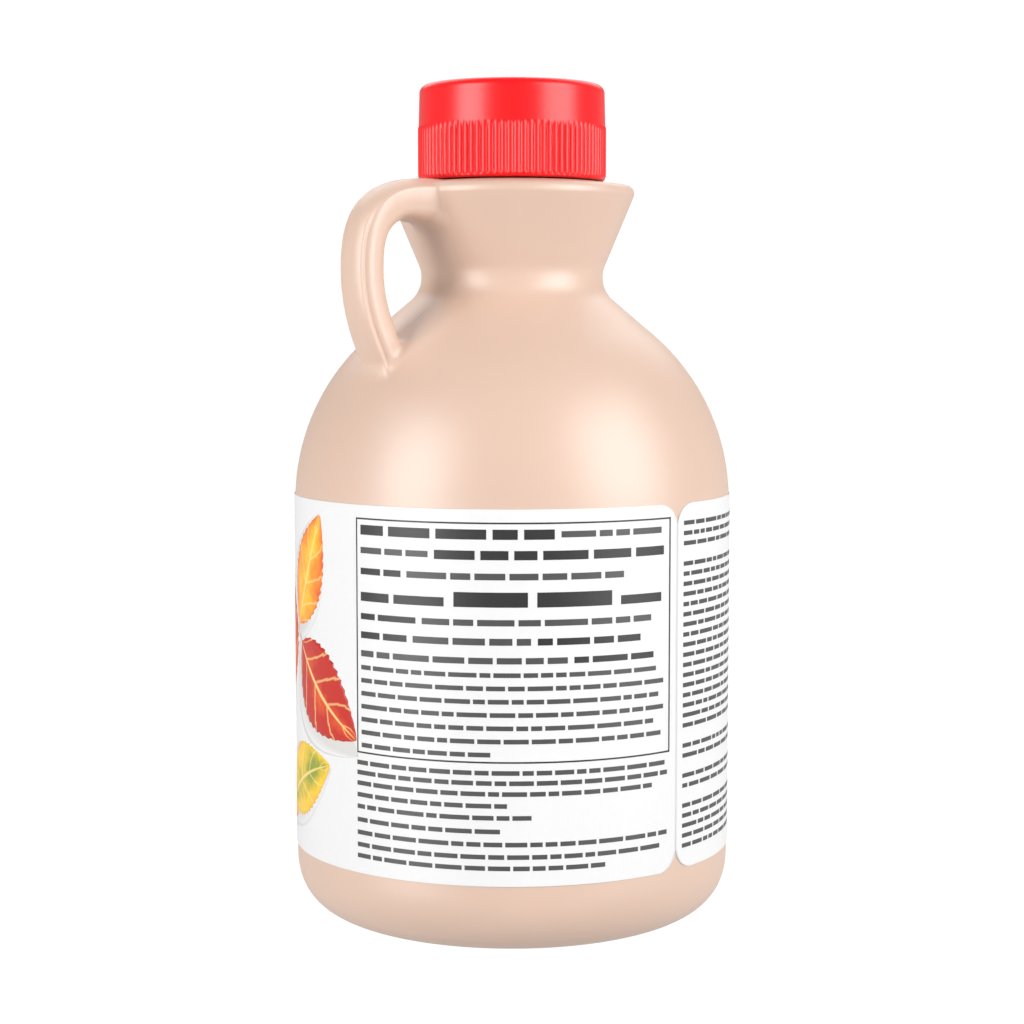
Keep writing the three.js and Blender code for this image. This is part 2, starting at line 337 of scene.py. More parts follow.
# %% [markdown]
# Each line of the section is now followed along the handle in fine steps. The sign of its distance to the
# wall says where it goes in at the collar and where it goes in at the shoulder. A fillet has two arms, one
# back along the handle and one out along the wall, and their length is read from a short table by the
# line's depth in the section: at the shoulder the strap runs out softly while the rib ends in a tight
# fold, and under the collar the inner face sweeps into the neck.

# %% Fillets of the handle
ARM_DEPTHS = [0, 1.4, 2.0, 4.9, 6.3]
COLLAR_ARMS = [1.4, 0.9, 0.9, 1.2, 4.0]
ROOT_ARMS = [2.6, 2.4, 1.8, 1.8, 2.2]
STEPS_MAIN, STEPS_FILLET, STEPS_LANDING = 110, 16, 6
LIFT, SINK, SPREAD = 0.004, 0.7, 0.1
FAN, STEEP = 0.35, 0.3

fine = np.linspace(0, run[-1], 900)
outside = off_wall(handle_point(np.repeat(fine[:, None], len(plain_loop), 1)))[0] > 0
before = fine[:, None] < mid_run
enter_top = fine[np.where(~outside & before, np.arange(len(fine))[:, None], -1).max(0)]
enter_root = fine[np.where(~outside & ~before, np.arange(len(fine))[:, None], len(fine)).min(0)]

chord = np.roll(plain_loop, -1, 0) - np.roll(plain_loop, 1, 0)
facing = np.stack([chord[:, 1], -chord[:, 0]], -1)
facing *= np.sign(np.sum(facing * (plain_loop - plain_loop.mean(0)), 1))[:, None]
facing /= np.linalg.norm(facing, axis=1, keepdims=True)


def in_space(pairs, along):
    """Route vectors (x, z) at distances along the handle, as vectors (x, 0, z)."""
    return np.stack([np.interp(along, run, pairs[:, 0]), 0 * along, np.interp(along, run, pairs[:, 1])], -1)


def fillet(enter, arm, sign):
    """Rows from the handle to the wall: (1-q)^2 P + 2q(1-q) C + q^2 W. A line meets the wall at M; P lies
    one arm back along the handle, W one arm out along the wall, and C is M slid along the handle into the
    plane that touches the wall at W, so that the rows arrive flat on it."""
    meet, back = handle_point(enter), handle_point(enter - sign * arm)
    ahead = sign * in_space(heading, enter)
    normal = off_wall(meet)[1]
    out = facing[:, 1:] * in_space(inward, enter) + facing[:, :1] * np.array([0, 1, 0]) + FAN * ahead
    out -= np.sum(out * normal, 1, keepdims=True) * normal
    out /= np.linalg.norm(out, axis=1, keepdims=True)
    landing = meet + arm[:, None] * out
    for _ in range(STEPS_LANDING):
        gap, normal = off_wall(landing)
        landing = landing - gap[:, None] * normal
    landing = landing + LIFT * normal
    toward = np.minimum(np.sum(ahead * normal, 1), -STEEP)
    corner = meet - ahead * (np.sum((meet - landing) * normal, 1) / toward)[:, None]
    q = np.linspace(0, 1, STEPS_FILLET)[:, None, None]
    rows = (1 - q) ** 2 * back + 2 * q * (1 - q) * corner + q * q * landing
    sunk = landing - SINK * normal + SPREAD * out
    return rows, sunk[None]


arm_top = np.interp(plain_loop[:, 1], ARM_DEPTHS, COLLAR_ARMS)
arm_root = np.interp(plain_loop[:, 1], ARM_DEPTHS, ROOT_ARMS)
top_rows, top_sunk = fillet(enter_top, arm_top, -1)
root_rows, root_sunk = fillet(enter_root, arm_root, 1)
share = np.linspace(0, 1, STEPS_MAIN)[1:-1, None]
main_rows = handle_point((1 - share) * (enter_top + arm_top) + share * (enter_root - arm_root))
rings = np.concatenate([top_sunk, top_rows[::-1], main_rows, root_rows, root_sunk])
handle = tube("handle", rings, top_sunk[0].mean(0), root_sunk[0].mean(0))
print("handle meets the collar at", enter_top.min().round(1), "to", enter_top.max().round(1), "mm along")
print("handle meets the shoulder at", enter_root.min().round(1), "to", enter_root.max().round(1), "mm along")

# %% [markdown]
# The real jug is one piece, so the two skins become one: a Boolean union cuts away what lies inside the
# other. Slivers along the cut would spoil smooth shading, so every point on the wall is given the wall's
# exact normal, which the formula above knows. The fillets end flat on the wall, so light runs across.

# %% One skin for the jug
ON_WALL, EDGE_CLEAR, NUDGE = 0.012, 1.0, 1e-9


def joined(name, first, second):
    """The union of two closed meshes as a new object."""
    union = first.modifiers.new("union", "BOOLEAN")
    union.operation = "UNION"
    union.solver = "MANIFOLD"
    union.object = second
    whole = bpy.data.meshes.new_from_object(first.evaluated_get(bpy.context.evaluated_depsgraph_get()))
    whole.name = name
    whole.materials.clear()
    made = linked(name, whole)
    for spent in (first, second):
        bpy.data.meshes.remove(spent.data)
    return made


def wall_shading(mesh):
    """Smooth normals, with the wall's own normal at the points that lie on it."""
    mesh.polygons.foreach_set("use_smooth", [True] * len(mesh.polygons))
    points = np.empty(3 * len(mesh.vertices))
    mesh.vertices.foreach_get("co", points)
    normals = np.empty(3 * len(mesh.vertices))
    mesh.vertex_normals.foreach_get("vector", normals)
    points, normals = points.reshape(-1, 3) / MM, normals.reshape(-1, 3)
    gap, exact = off_wall(points + [NUDGE, 0, 0])
    side = (points[:, 2] > EDGE_CLEAR) & (points[:, 2] < RIM_Z - EDGE_CLEAR)
    on_wall = side & (np.abs(gap) < ON_WALL)
    normals[on_wall] = exact[on_wall]
    mesh.normals_split_custom_set_from_vertices(normals)
    return on_wall.sum()


jug = joined("jug_moulding", bottle, handle)
print("points with the wall's normal", wall_shading(jug.data), "of", len(jug.data.vertices))
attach(jug, "root")
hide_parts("jug")
print("jug faces", len(jug.data.polygons))

# %% [markdown]
# ## The cap
# The screw cap is injection moulded. A smooth band lies over a skirt of fine grip ribs, and each rib
# narrows to a point where it dies into the band and again just above a thin plain rim. A rib could be
# modelled once and repeated, but then ninety joins would have to be hidden. Here the cap is one turned
# surface whose radius also depends on the angle: crests stand a little proud of the band and valleys lie
# below it, switched on and off along the height by smooth steps that come earlier on the flanks of a rib
# than on its crest, which gives the points.

# %% Cap surface
CAP_Z, CAP_TOP = cap_low[2], cap_high[2]
CAP_R, CAP_DRAFT, CAP_CORNER = 17.4, 0.14, 1.6
RIBS, RIB_HIGH, RIB_DEEP, RIB_BEND, RIB_GATHER = 90, 0.16, 0.16, np.radians(55), 0.6
RIB_LOW, RIB_UP = 138.4, 147.75
POINT_LOW, POINT_UP, FADE_LOW, FADE_UP = 0.25, 0.8, 0.25, 0.3
RIM_IN, RIM_SOFT = 0.05, 0.5
FOOT_RUN, POINT_BELOW, POINT_ABOVE = 0.8, 1.6, 0.6
UNDER_START, CLEAR_UNDER, CLEAR_BAND, CLEAR_TOP = 2.0, 0.3, 0.4, 0.6
GATE_R, GATE_DEEP = 1.4, 0.2
PER_RIB = 10


def cap_outline():
    """Points (r, z) from the axis under the cap to the axis on its top, without ribs. Rows are close where
    ribs start, close again at their points, and wide apart between."""
    foot_r, band_r, high = CAP_R - RIM_IN, CAP_R - CAP_DRAFT, CAP_TOP - CAP_CORNER
    skirt_low, point_low, point_high = RIB_LOW + FOOT_RUN, RIB_UP - POINT_BELOW, RIB_UP + POINT_ABOVE
    under = np.linspace((UNDER_START, CAP_Z), (foot_r - RIM_SOFT - CLEAR_UNDER, CAP_Z), 6)
    edge = arc((foot_r - RIM_SOFT, CAP_Z + RIM_SOFT), RIM_SOFT, -np.pi / 2, 0, 7)
    rim = np.linspace((foot_r, CAP_Z + RIM_SOFT), (CAP_R, skirt_low), 12)[1:]
    skirt = np.linspace((CAP_R, skirt_low), (CAP_R, point_low), 8)[1:-1]
    points = np.linspace((CAP_R, point_low), (CAP_R, point_high), 16)
    band = np.linspace((CAP_R, point_high), (band_r, high - CLEAR_BAND), 8)[1:]
    corner = arc((band_r - CAP_CORNER, high), CAP_CORNER, 0, np.pi / 2, 14)
    top = np.linspace((band_r - CAP_CORNER - CLEAR_TOP, CAP_TOP), (GATE_R, CAP_TOP), 8)
    gate = np.array([[0.85, 0.25], [0.6, 0.75], [0.3, 1.0]]) * [GATE_R, -GATE_DEEP] + [0, CAP_TOP]
    return np.concatenate([under, edge, rim, skirt, points, band, corner, top, gate])


def ribbed_rings(profile):
    """The turned profile with ribs: r + on(z) ((h + v) c - v). Across a rib, with x from -1 to 1, c is the
    round sqrt(1 - (x sin t)^2), scaled to run from 0 in the groove to 1, and the columns gather towards
    the groove. The step on(z) is moved inwards at both ends by the length of the rib's point times 1 - c."""
    phase = np.arange(RIBS * PER_RIB) * 2 * np.pi / PER_RIB
    angle = (phase + RIB_GATHER * np.sin(phase)) / RIBS
    x = (RIBS * angle / np.pi + 1) % 2 - 1
    crest = (np.sqrt(1 - (x * np.sin(RIB_BEND)) ** 2) - np.cos(RIB_BEND)) / (1 - np.cos(RIB_BEND))
    r, z = profile[:, :1], profile[:, 1:]
    low, high = RIB_LOW + POINT_LOW * (1 - crest), RIB_UP - POINT_UP * (1 - crest)
    on = smooth_step(z, low - FADE_LOW, low + FADE_LOW) * (1 - smooth_step(z, high - FADE_UP, high + FADE_UP))
    r = r + on * ((RIB_HIGH + RIB_DEEP) * crest - RIB_DEEP)
    return np.stack([r * np.cos(angle), r * np.sin(angle), z + 0 * r], -1)


cap_rings = ribbed_rings(cap_outline())
cap = tube("cap_moulding", cap_rings, (0, 0, CAP_Z), (0, 0, CAP_TOP - GATE_DEEP))
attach(cap, "root")
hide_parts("cap")
print("cap faces", len(cap.data.polygons), "widest", 2 * np.abs(cap_rings[..., 0]).max().round(2), "mm")

# %% [markdown]
# ## The label
# The label is a white film wrapped once round the wall. Its ends have rounded corners and lap by a hair at
# a seam, where one end dips. It is a sheet in two parameters, distance round the wall and height, rolled
# on to the cylinder: each row starts and stops where the rounded corner lets it. A second sheet just
# inside closes it.

# %% Label sheet
LABEL_R = label_high[1]
LABEL_LOW, LABEL_HIGH = label_low[2], label_high[2]
LABEL_THICK, LABEL_CORNER = 0.16, 4.3
SEAM_LAP, SEAM_DIP, DIP_FROM, DIP_FULL = 0.12, 0.05, 4.0, 1.0
VIEW_ANGLE = np.radians(49)
SEAM_U = 32.66
ROUND = 2 * np.pi * LABEL_R


def rolled(u, z, r):
    """Point of the label: u millimetres round the wall from the middle of the view, height z, radius r."""
    angle = VIEW_ANGLE + u / LABEL_R
    return np.stack([r * np.cos(angle), r * np.sin(angle), z + 0 * angle], -1)


def sheet_edge(z):
    """How far a rounded corner cuts into the row at height z: c - sqrt(c^2 - h^2), h past the straight."""
    past = np.maximum(LABEL_LOW + LABEL_CORNER - z, z - (LABEL_HIGH - LABEL_CORNER))
    return LABEL_CORNER - np.sqrt(LABEL_CORNER**2 - np.clip(past, 0, LABEL_CORNER) ** 2)


def label_sheet(columns, rows):
    """Closed sheet: rows run up the outer face and down the inner one, columns from end to end."""
    bend = np.sin(np.linspace(0, np.pi / 2, rows)) * LABEL_CORNER
    z = np.concatenate([
        LABEL_LOW + LABEL_CORNER - bend[::-1],
        np.linspace(LABEL_LOW + LABEL_CORNER, LABEL_HIGH - LABEL_CORNER, rows)[1:-1],
        LABEL_HIGH - LABEL_CORNER + bend,
    ])
    end = sheet_edge(z) - SEAM_LAP / 2
    share = np.linspace(0, 1, columns)[:, None]
    u = (SEAM_U + end) * (1 - share) + (SEAM_U + ROUND - end) * share
    last = SEAM_U + ROUND
    face_r = LABEL_R - SEAM_DIP * smooth_step(u, last - DIP_FROM, last - DIP_FULL)
    face = rolled(u, z, face_r)
    back = rolled(u, z, face_r - LABEL_THICK)[:, ::-1]
    loops = np.concatenate([face, back], 1)
    count = loops.shape[1]
    pair = np.arange(count // 2 - 1)
    close = np.stack([pair, count - 1 - pair, count - 2 - pair, pair + 1], -1)
    far = close[:, ::-1] + (columns - 1) * count
    return loops.reshape(-1, 3), np.concatenate([band_faces(columns, count), close, far]).tolist()


label = skin("label_film", *label_sheet(361, 12))
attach(label, "root")
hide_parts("label")
seam_deg = np.degrees(VIEW_ANGLE + SEAM_U / LABEL_R)
print("label faces", len(label.data.polygons), "seam at", seam_deg.round(1), "degrees")

# %% [markdown]
# ## Print: rules and word bars
# The back of the label carries an information panel: a ruled frame holds bars of two weights, set in
# lines with a ragged right edge, as a layout is sketched before its text exists. Each bar is a shallow
# closed block of ink that follows the wall, so all of them are made at once from arrays of their ends and
# heights. A flat block would sink into the round wall in its middle, so each has enough stations to stay
# above it.

# %% Ink blocks
INK_SUNK, INK_LIFT = 0.05, 0.018


def ink_blocks(name, bars, lift, parts):
    """Blocks that follow the wall, one for each row (u0, u1, z0, z1) of bars: parts + 1 stations from u0
    to u1, with four corners at each (outer low, outer high, inner high, inner low)."""
    u0, u1, z0, z1 = np.asarray(bars, float).T
    share = np.linspace(0, 1, parts + 1)
    u = (u0[:, None] * (1 - share) + u1[:, None] * share)[..., None]
    z = np.stack([z0, z1, z1, z0], -1)[:, None, :]
    r = LABEL_R + np.array([lift, lift, -INK_SUNK, -INK_SUNK])
    points = rolled(u + 0 * z, z + 0 * u, r + 0 * u)
    ends = np.array([[3, 2, 1, 0], [0, 1, 2, 3]]) + np.array([[0], [4 * parts]])
    one = np.concatenate([band_faces(parts + 1, 4), ends])
    faces = one[None] + np.arange(len(u0))[:, None, None] * 4 * (parts + 1)
    return skin(name, points.reshape(-1, 3), faces.reshape(-1, 4).tolist(), smooth=False)


PANEL_LEFT, PANEL_RIGHT, PANEL_LOW, PANEL_HIGH = -30.1, 30.8, 35.6, 77.5
RULE = 0.3
panel_rules = ink_blocks("panel_rules", [
    (PANEL_LEFT, PANEL_RIGHT, PANEL_HIGH - RULE, PANEL_HIGH),
    (PANEL_LEFT, PANEL_RIGHT, PANEL_LOW, PANEL_LOW + RULE),
    (PANEL_LEFT, PANEL_LEFT + RULE, PANEL_LOW + RULE, PANEL_HIGH - RULE),
    (PANEL_RIGHT - RULE, PANEL_RIGHT, PANEL_LOW + RULE, PANEL_HIGH - RULE),
], lift=INK_LIFT, parts=90)
print("ruled panel", PANEL_RIGHT - PANEL_LEFT, "by", PANEL_HIGH - PANEL_LOW, "mm")

# %% [markdown]
# Each line is a list of stretches, given as shares of the panel's width, and a weight. A stretch is
# filled with bars whose lengths are drawn from a seeded generator and then scaled to fit exactly.

# %% Word bars
rng = np.random.default_rng(11)
INSET = 1.1
WIDTH = PANEL_RIGHT - PANEL_LEFT - 2 * INSET
BOLD, LIGHT = "bold", "light"
MAIN_LINES = [
    (75.4, 1.75, [(0.00, 0.62, BOLD)]),
    (75.4, 1.10, [(0.64, 0.98, LIGHT)]),
    (71.8, 1.10, [(0.00, 0.24, LIGHT)]),
    (71.8, 1.60, [(0.26, 0.99, BOLD)]),
    (68.1, 1.15, [(0.00, 0.15, BOLD), (0.17, 0.84, LIGHT)]),
    (64.1, 2.60, [(0.32, 0.80, BOLD)]),
    (63.6, 1.60, [(0.00, 0.29, BOLD), (0.83, 0.98, BOLD)]),
    (60.1, 1.10, [(0.00, 0.20, BOLD), (0.22, 0.94, LIGHT)]),
    (56.8, 1.20, [(0.00, 0.17, BOLD), (0.19, 0.55, LIGHT), (0.57, 0.90, BOLD)]),
    (53.5, 1.10, [(0.00, 0.66, LIGHT), (0.68, 0.95, BOLD)]),
]
SMALL_TALL, SIDE_TALL = 0.82, 0.78
WORD_LONG, WORD_SPACE = 4.6, 0.62
SMALL_LINES = list(zip(51.0 - 2.32 * np.arange(7), (0.96, 0.99, 0.97, 0.99, 0.95, 0.98, 0.43)))
FOOT_LINES = list(zip((33.9, 32.1, 30.2, 28.1, 26.0, 23.6, 21.3, 19.1, 17.1),
                      (0.98, 0.99, 0.93, 0.48, 0.55, 0.46, 0.99, 0.96, 0.77)))
SIDE_LEFT, SIDE_WIDTH = 34.4, 38.0
SIDE_GAPS = (3, 21, 24, 27)
SIDE_LINES = [76.2 - 1.82 * k for k in range(33) if k not in SIDE_GAPS]


def word_bars(left, right, z, tall):
    """Bars that fill a stretch: drawn lengths and the spaces between them, scaled to its width."""
    count = max(1, round((right - left) / (WORD_LONG * tall)))
    lengths = rng.uniform(0.5, 1.5, count)
    space = WORD_SPACE * tall
    lengths *= (right - left - space * (count - 1)) / lengths.sum()
    start = left + np.concatenate([[0], np.cumsum(lengths + space)[:-1]])
    return [(u, u + w, z - tall / 2, z + tall / 2) for u, w in zip(start, lengths)]


bars = {BOLD: [], LIGHT: []}
for z, tall, stretches in MAIN_LINES:
    for start, stop, weight in stretches:
        left = PANEL_LEFT + INSET
        bars[weight] += word_bars(left + start * WIDTH, left + stop * WIDTH, z, tall)
for z, share in SMALL_LINES:
    bars[LIGHT] += word_bars(PANEL_LEFT + INSET, PANEL_LEFT + INSET + share * WIDTH, z, SMALL_TALL)
for z, share in FOOT_LINES:
    bars[LIGHT] += word_bars(PANEL_LEFT, PANEL_LEFT + share * (PANEL_RIGHT - PANEL_LEFT), z, SMALL_TALL)
for z in SIDE_LINES:
    bars[LIGHT] += word_bars(SIDE_LEFT, SIDE_LEFT + rng.uniform(0.8, 1.0) * SIDE_WIDTH, z, SIDE_TALL)
bold_bars = ink_blocks("bold_word_bars", bars[BOLD], lift=INK_LIFT, parts=12)
plain_bars = ink_blocks("plain_word_bars", bars[LIGHT], lift=INK_LIFT, parts=8)
for printed in (panel_rules, bold_bars, plain_bars):
    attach(printed, "root")
print("bars", len(bars[BOLD]), "bold and", len(bars[LIGHT]), "plain")

# %% [markdown]
# ## Print: autumn leaves
# The front of the label is decorated with plain oval leaves in autumn colours. A leaf is a sheet in two
# parameters: s along its midrib and t across, with half its width a sine of s and small teeth on its
# edge. It lies flat on the film, so it is turned in the plane of the label and then rolled on to the
# wall. A wider, paler sheet under it fades to the film's white and stands for the printed shadow.

# %% Leaf sheets
LEAF_ROWS, LEAF_COLUMNS, TEETH = 61, 17, 15
STALK, STALK_WIDE, BLADE_LEAN, BLADE_FULL, SWAY = 0.08, 0.02, 0.8, 0.85, 0.05
SHADE_LIFT, LEAF_LIFT, LEAF_STEP = 0.014, 0.030, 0.002
SHADE_LEFT, SHADE_DOWN, SHADE_GROW, TOOTH = 1.3, 1.5, 1.16, 0.10


def leaf_points(centre_u, centre_z, length, width, turn_by, lift, teeth):
    """Outer and inner points of one leaf, rolled on to the wall, with its (s, t) beside them."""
    s = np.linspace(0, 1, LEAF_ROWS)[:, None]
    t = np.linspace(-1, 1, LEAF_COLUMNS)[None, :]
    blade = np.sin(np.pi * np.clip(s * (1 + STALK) - STALK, 0, 1) ** BLADE_LEAN) ** BLADE_FULL
    half = width / 2 * (blade * (1 + teeth * ((s * TEETH) % 1 - 0.5)) + STALK_WIDE)
    along = (s - 0.5) * length
    sideways = half * t + SWAY * length * np.sin(np.pi * s) * np.sin(turn_by * 3)
    u = centre_u + along * np.cos(turn_by) - sideways * np.sin(turn_by)
    z = centre_z + along * np.sin(turn_by) + sideways * np.cos(turn_by)
    top = rolled(u, z, LABEL_R + lift)
    low = rolled(u, z, LABEL_R - INK_SUNK)
    return top, low, np.broadcast_arrays(s, (t + 1) / 2)


def leaf_faces():
    """Faces of one leaf: the upper grid, the lower grid turned over, and the strip between their rims."""
    index = np.arange(LEAF_ROWS * LEAF_COLUMNS).reshape(LEAF_ROWS, LEAF_COLUMNS)
    cells = np.stack([index[:-1, :-1], index[:-1, 1:], index[1:, 1:], index[1:, :-1]], -1).reshape(-1, 4)
    rim = np.concatenate([index[0, :-1], index[:-1, -1], index[-1, :0:-1], index[:0:-1, 0]])
    after = np.roll(rim, -1)
    below = index.size
    strip = np.stack([rim, rim + below, after + below, after], -1)
    return np.concatenate([cells, cells[:, ::-1] + below, strip])


def leaf_piece(name, leaves, lift, teeth, grow):
    """All leaves as one mesh, with a UV map of (s, t) and each leaf's colour number as an attribute."""
    one = leaf_faces()
    points, uvs, hues = [], [], []
    for k, (u, z, length, width, turn_deg, hue) in enumerate(leaves):
        place = (u, z, length * grow, width * grow, np.radians(turn_deg), lift + LEAF_STEP * (k % 3), teeth)
        top, low, (s, t) = leaf_points(*place)
        points.append(np.concatenate([top.reshape(-1, 3), low.reshape(-1, 3)]))
        uvs.append(np.tile(np.stack([s.ravel(), t.ravel()], -1), (2, 1)))
        hues.append(np.full(2 * s.size, hue))
    size = 2 * LEAF_ROWS * LEAF_COLUMNS
    faces = np.concatenate([one + k * size for k in range(len(leaves))])
    made = skin(name, np.concatenate(points), faces.tolist())
    corners = np.empty(len(made.data.loops), int)
    made.data.loops.foreach_get("vertex_index", corners)
    layer = made.data.uv_layers.new(name="leaf")
    layer.uv.foreach_set("vector", np.concatenate(uvs)[corners].ravel())
    hue_layer = made.data.attributes.new("hue", "FLOAT", "POINT")
    hue_layer.data.foreach_set("value", np.concatenate(hues))
    return made


# place round the wall, height, length, width, turn in degrees, hue (0 green, 0.5 yellow, 1 red)
LEAVES = [
    (-47, 66, 25, 13, 62, 0.55), (-41, 46, 27, 15, -38, 0.98), (-49, 27, 24, 13, 25, 0.30),
    (-62, 54, 26, 14, 100, 0.78), (-66, 24, 23, 12, -20, 0.62), (-74, 70, 22, 12, 15, 0.20),
    (-138, 70, 24, 13, 160, 0.95), (-150, 52, 27, 15, 80, 0.50), (-146, 27, 25, 14, -150, 0.85),
    (-162, 35, 22, 12, 40, 0.10), (-165, 68, 24, 13, -65, 0.72), (-172, 20, 20, 11, 10, 0.45),
]
leaves = leaf_piece("leaf_print", LEAVES, LEAF_LIFT, TOOTH, 1.0)
shade_of = [(u - SHADE_LEFT, z - SHADE_DOWN, *size, 0) for u, z, *size, _ in LEAVES]
shades = leaf_piece("leaf_shadow_print", shade_of, SHADE_LIFT, 0.0, SHADE_GROW)
for printed in (leaves, shades):
    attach(printed, "root")
print("leaves", len(LEAVES))

# %% [markdown]
# ## Print: the front field
# In the middle of the front, away from the camera, stands a plain oval field with a ring and three title
# bars. The oval is the same kind of sheet as a leaf. Its s is an angle, so that u = -a cos s runs along it
# and the half height b sin s closes it at both ends.

# %% Oval field
FRONT_U, FRONT_Z = -106.0, 48.0
OVAL_LONG, OVAL_TALL, RING_WIDE = 54.0, 34.0, 3.0
FIELD_LIFT, TITLE_LIFT = 0.032, 0.046


def oval_piece(name, long, tall, lift):
    """A closed sheet with an elliptical rim, rolled on to the wall: a is long / 2 and b is tall / 2."""
    s = np.linspace(0, np.pi, LEAF_ROWS)[:, None]
    t = np.linspace(-1, 1, LEAF_COLUMNS)[None, :]
    u = FRONT_U - long / 2 * np.cos(s) + 0 * t
    z = FRONT_Z + tall / 2 * np.maximum(np.sin(s), 1e-3) * t
    top = rolled(u, z, LABEL_R + lift).reshape(-1, 3)
    low = rolled(u, z, LABEL_R - INK_SUNK).reshape(-1, 3)
    return skin(name, np.concatenate([top, low]), leaf_faces().tolist())


ring = oval_piece("front_ring", OVAL_LONG + RING_WIDE, OVAL_TALL + RING_WIDE, INK_LIFT)
field = oval_piece("front_field", OVAL_LONG, OVAL_TALL, FIELD_LIFT)
TITLE = np.array([(-17, 17, 4.0, 8.5), (-13, 13, -2.6, 1.2), (-9, 9, -7.2, -5.2)])
middle = np.array([FRONT_U, FRONT_U, FRONT_Z, FRONT_Z])
title = ink_blocks("front_bars", TITLE + middle, lift=TITLE_LIFT, parts=36)
for printed in (ring, field, title):
    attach(printed, "root")
print("front field centred at", np.degrees(VIEW_ANGLE + FRONT_U / LABEL_R).round(1), "degrees")

# %% [markdown]
# ## Finishes
# Every finish starts from what the real surface is and how it was made. Colours are written as sRGB hex
# values, as they would be picked from a sample, and one function turns them to the linear light that
# shaders work in. One small function adds a node and wires it. The few kinds of node in use here have a
# line each on top of it, so that each finish reads as a short list.

# %% Colour and node helpers


def linear(code):
    """sRGB hex to linear RGBA: c / 12.92 when dark, else ((c + 0.055) / 1.055)^2.4."""
    srgb = np.array([int(code[i:i + 2], 16) for i in (1, 3, 5)]) / 255
    rgb = np.where(srgb <= 0.04045, srgb / 12.92, ((srgb + 0.055) / 1.055) ** 2.4)
    return (*rgb.tolist(), 1.0)


def add(owner, kind, sockets=None, **settings):
    """Adds a node with its settings to a material or world. A socket takes a value or an output to link."""
    made = owner.node_tree.nodes.new(kind)
    for key, value in settings.items():
        setattr(made, key, value)
    for key, value in (sockets or {}).items():
        if isinstance(value, bpy.types.NodeSocket):
            owner.node_tree.links.new(value, made.inputs[key])
        else:
            made.inputs[key].default_value = value
    return made


def noise(owner, place, size, detail, **more):
    """Noise whose cells are size millimetres wide."""
    sockets = {"Vector": place, "Scale": 1 / (size * MM), "Detail": detail, **more}
    return add(owner, "ShaderNodeTexNoise", sockets).outputs["Fac"]


def maths(owner, operation, *values, **settings):
    """One operation on outputs or numbers."""
    return add(owner, "ShaderNodeMath", dict(enumerate(values)), operation=operation, **settings).outputs[0]


def ranged(owner, value, start, stop, low, high, kind="LINEAR"):
    """A value taken from start .. stop to low .. high."""
    return add(owner, "ShaderNodeMapRange", {
        "Value": value, "From Min": start, "From Max": stop, "To Min": low, "To Max": high,
    }, interpolation_type=kind).outputs[0]


def blend(owner, factor, first, second):
    """A colour that goes from the first to the second as the factor rises."""
    return add(owner, "ShaderNodeMix", {"Factor": factor, 6: first, 7: second}, data_type="RGBA").outputs[2]


def bump(owner, height, strength, distance, **below):
    """A normal tilted by a height, with its distance in millimetres."""
    sockets = {"Height": height, "Strength": strength, "Distance": distance * MM, **below}
    return add(owner, "ShaderNodeBump", sockets).outputs["Normal"]


def plug(owner, shader, **outputs):
    """Links outputs to the sockets of a shader."""
    for key, output in outputs.items():
        owner.node_tree.links.new(output, shader.inputs[key.replace("_", " ")])


def finish_of(name, **sockets):
    """A new material and its Principled shader, with constant values on the shader's own sockets."""
    material = bpy.data.materials.new(name)
    material.use_nodes = True
    shader = material.node_tree.nodes["Principled BSDF"]
    for key, value in sockets.items():
        shader.inputs[key.replace("_", " ")].default_value = value
    return material, shader


# %% [markdown]
# Blow-moulded polyethylene is satin: the skin takes the fine grit of the mould, and the plastic is a little
# see-through, so light spreads under the surface and softens shadows. A faint line runs round the plane
# of the handle where the two halves of the mould met. The mould grit is finer than a pixel here, so it
# is drawn three times coarser.

# %% Blow-moulded polyethylene
PARTING_HALF = 0.22


def moulded_polyethylene():
    """Beige polyethylene: slow colour drift, fine grit and a parting line on the plane y = 0."""
    material, shader = finish_of(
        "blow-moulded polyethylene", IOR=1.54, Specular_IOR_Level=0.85,
        Subsurface_Weight=0.12, Subsurface_Radius=(1.0, 0.6, 0.4), Subsurface_Scale=1.6 * MM,
    )
    place = add(material, "ShaderNodeTexCoord").outputs["Object"]
    side = add(material, "ShaderNodeSeparateXYZ", {"Vector": place}).outputs["Y"]
    line = ranged(material, maths(material, "ABSOLUTE", side), 0, PARTING_HALF * MM, 1, 0, "SMOOTHSTEP")
    grit = noise(material, place, 0.5, 3)
    fine = bump(material, grit, 0.06, 0.05)
    slow = bump(material, noise(material, place, 9, 1), 0.25, 0.1, Normal=fine)
    plug(
        material, shader,
        Base_Color=blend(material, noise(material, place, 22, 2), linear("#ccae9b"), linear("#d0b3a1")),
        Roughness=ranged(material, grit, 0, 1, 0.37, 0.45),
        Normal=bump(material, line, 0.5, 0.06, Normal=slow),
    )
    return material


jug.data.materials.append(moulded_polyethylene())
print("jug finish", jug.data.materials[0].name)

# %% [markdown]
# The cap is injection-moulded polypropylene from a polished tool: harder and glossier than the bottle, in
# a strong red. It carries a very fine grain that only softens its reflections.

# %% Injection-moulded polypropylene


def cap_polypropylene():
    """Red polypropylene with a slight drift of colour and a fine grain in its gloss."""
    material, shader = finish_of(
        "injection-moulded polypropylene", IOR=1.5, Specular_IOR_Level=0.52,
        Subsurface_Weight=0.05, Subsurface_Radius=(1.0, 0.2, 0.2), Subsurface_Scale=0.8 * MM,
    )
    place = add(material, "ShaderNodeTexCoord").outputs["Object"]
    grain = noise(material, place, 0.35, 2)
    plug(
        material, shader,
        Base_Color=blend(material, noise(material, place, 12, 2), linear("#e0070e"), linear("#e60a12")),
        Roughness=ranged(material, grain, 0, 1, 0.29, 0.34),
        Normal=bump(material, grain, 0.03, 0.02),
    )
    return material


